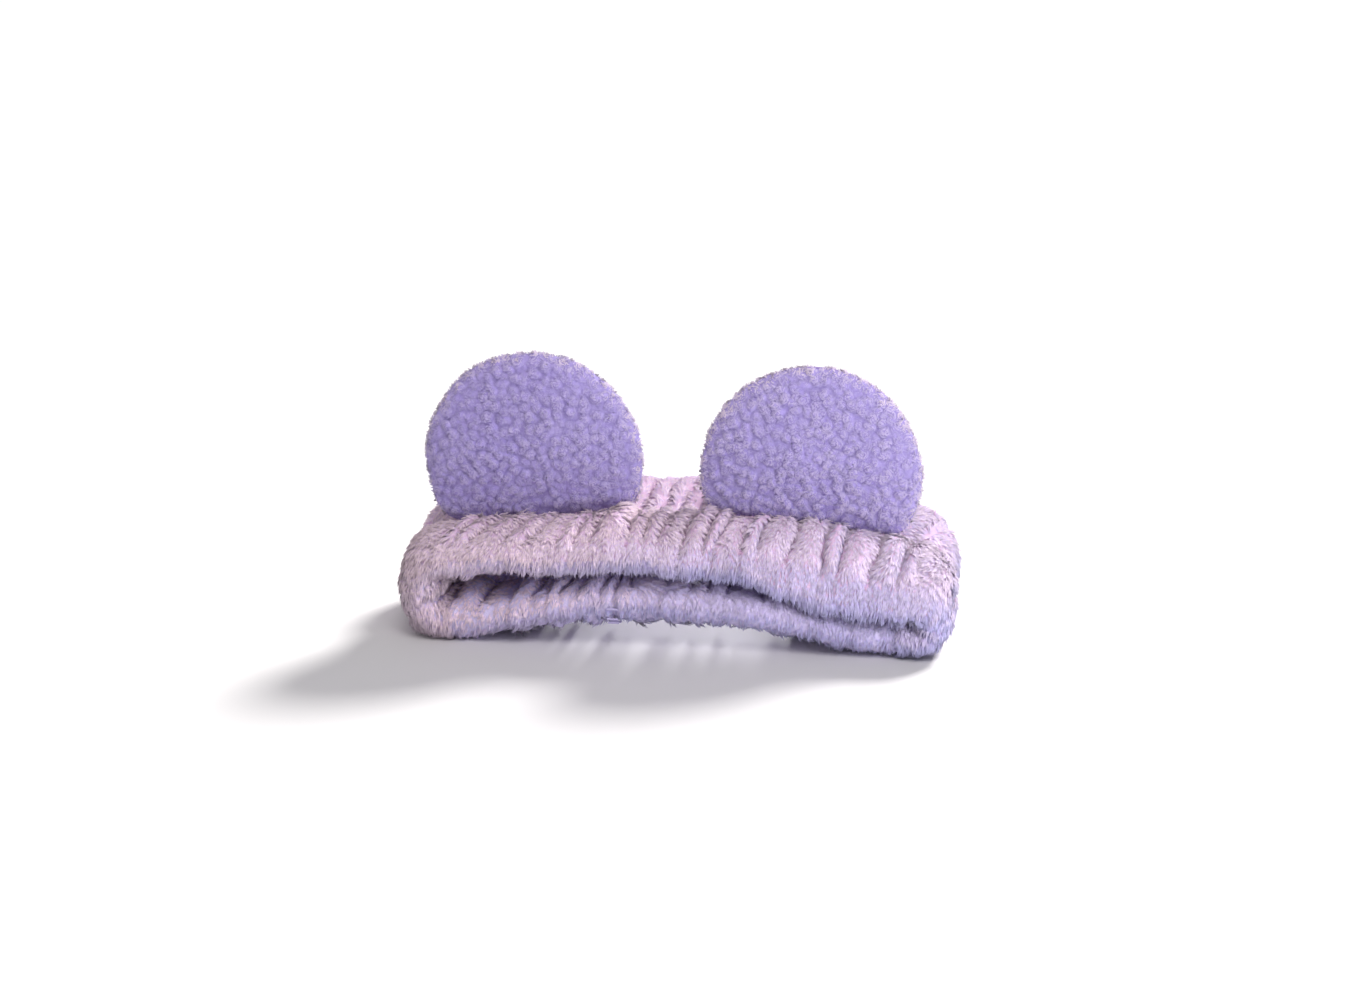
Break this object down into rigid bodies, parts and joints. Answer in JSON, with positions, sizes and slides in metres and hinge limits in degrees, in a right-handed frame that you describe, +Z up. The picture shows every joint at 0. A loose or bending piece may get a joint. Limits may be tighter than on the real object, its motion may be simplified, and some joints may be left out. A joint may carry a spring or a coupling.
{
  "type": "spa headband",
  "caption": "Plush loop headband of gathered fleece over an elastic, with two stuffed round sherpa ears sewn upright on its front half.",
  "frame": {"origin": "on the floor the loop stands on, under the middle of the loop, midway between its front and back rims", "axes": "+X along the loop's length to the viewer's right, towards its right-hand end; +Y through the loop's opening, from the front rim to the back rim; +Z up, from the lower half to the ears"},
  "size_m": [0.223, 0.072, 0.1114],
  "materials": {
    "fleece": "lilac coral fleece with a long soft pile",
    "fleece_inside": "knitted backing of the lilac fleece",
    "elastic": "white woven elastic",
    "thread": "matt polyester thread, lavender",
    "sherpa": "lavender sherpa with small curled tufts",
    "wadding": "white polyester wadding"
  },
  "bodies": {
    "band_back": {"cover_back": "fleece", "cover_right_end": "fleece", "cover_left_end": "fleece", "elastic_back": "elastic", "elastic_right_end": "elastic", "elastic_left_end": "elastic", "seam_allowance_back": "fleece_inside", "seam_allowance_right_end": "fleece_inside", "seam_allowance_left_end": "fleece_inside", "elastic_splice": "elastic", "splice_stitches": "thread", "closing_seam_stitches": "thread"},
    "band_front": {"cover_front": "fleece", "elastic_front": "elastic", "seam_allowance_front": "fleece_inside", "ear_left_base_thread": "thread", "ear_right_base_thread": "thread"},
    "ear_left": {"ear_left_front_panel": "sherpa", "ear_left_back_panel": "sherpa", "ear_left_filling": "wadding", "ear_left_rim_seam": "thread", "ear_left_hem": "sherpa"},
    "ear_right": {"ear_right_front_panel": "sherpa", "ear_right_back_panel": "sherpa", "ear_right_filling": "wadding", "ear_right_rim_seam": "thread", "ear_right_hem": "sherpa"}
  },
  "joints": [
    {"name": "band_stretch", "type": "slide", "parent": "band_back", "child": "band_front", "axis": [0, 0, 1], "range_m": [0, 0.05], "stiffness_N_per_m": 60, "deforming": ["cover_right_end", "cover_left_end", "elastic_right_end", "elastic_left_end", "seam_allowance_right_end", "seam_allowance_left_end"]},
    {"name": "ear_left_fold", "type": "hinge", "parent": "band_front", "child": "ear_left", "pos_m": [-0.06, 0, 0.04934], "axis": [0.9943, 0, 0.1066], "range_deg": [-50, 50], "stiffness_Nm_per_rad": 0.05},
    {"name": "ear_right_fold", "type": "hinge", "parent": "band_front", "child": "ear_right", "pos_m": [0.0515, 0, 0.04996], "axis": [0.9946, 0, -0.1036], "range_deg": [-50, 50], "stiffness_Nm_per_rad": 0.05}
  ]
}
